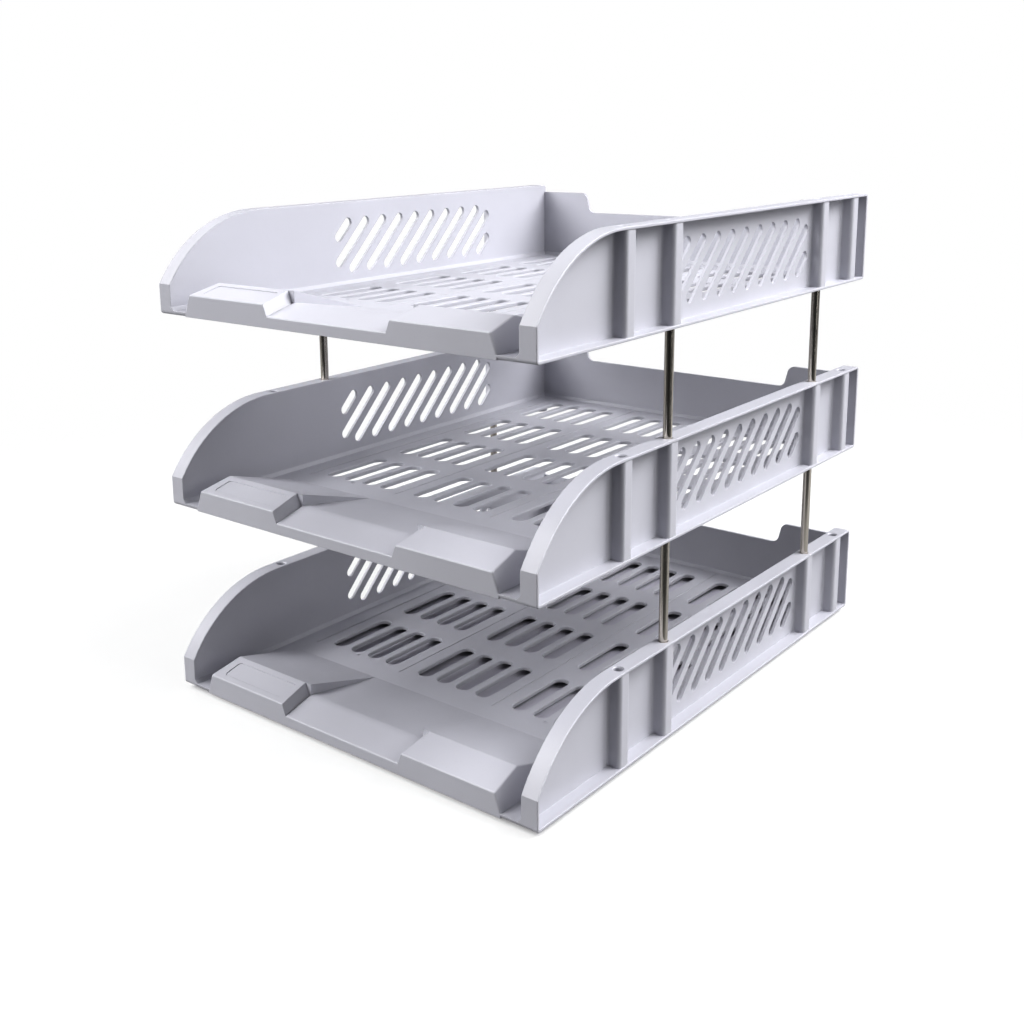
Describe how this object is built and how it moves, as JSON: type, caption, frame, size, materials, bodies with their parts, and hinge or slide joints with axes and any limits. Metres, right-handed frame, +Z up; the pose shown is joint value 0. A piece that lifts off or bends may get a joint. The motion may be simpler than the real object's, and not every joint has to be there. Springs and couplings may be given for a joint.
{
  "type": "letter tray",
  "caption": "Stacking desk letter tray: open-front plastic trays with slanted side vents and slotted floors, held one above another on steel rods.",
  "frame": {"origin": "on the desk, under the middle of the bottom tray", "axes": "+X to the user's right, -Y towards the user (open front), +Z up"},
  "size_m": [0.255, 0.346, 0.274],
  "materials": {
    "tray_plastic": "satin",
    "rod_steel": "polished"
  },
  "bodies": {
    "bottom_tier": {"bottom_tray": "tray_plastic", "lower_rod_front_left": "rod_steel", "lower_rod_front_right": "rod_steel", "lower_rod_rear_left": "rod_steel", "lower_rod_rear_right": "rod_steel"},
    "middle_tier": {"middle_tray": "tray_plastic", "upper_rod_front_left": "rod_steel", "upper_rod_front_right": "rod_steel", "upper_rod_rear_left": "rod_steel", "upper_rod_rear_right": "rod_steel"},
    "top_tier": {"top_tray": "tray_plastic"}
  },
  "joints": [
    {"name": "middle_lift", "type": "slide", "parent": "bottom_tier", "child": "middle_tier", "axis": [0, 0, 1], "range_m": [0, 0.02]},
    {"name": "top_lift", "type": "slide", "parent": "middle_tier", "child": "top_tier", "axis": [0, 0, 1], "range_m": [0, 0.02]}
  ]
}
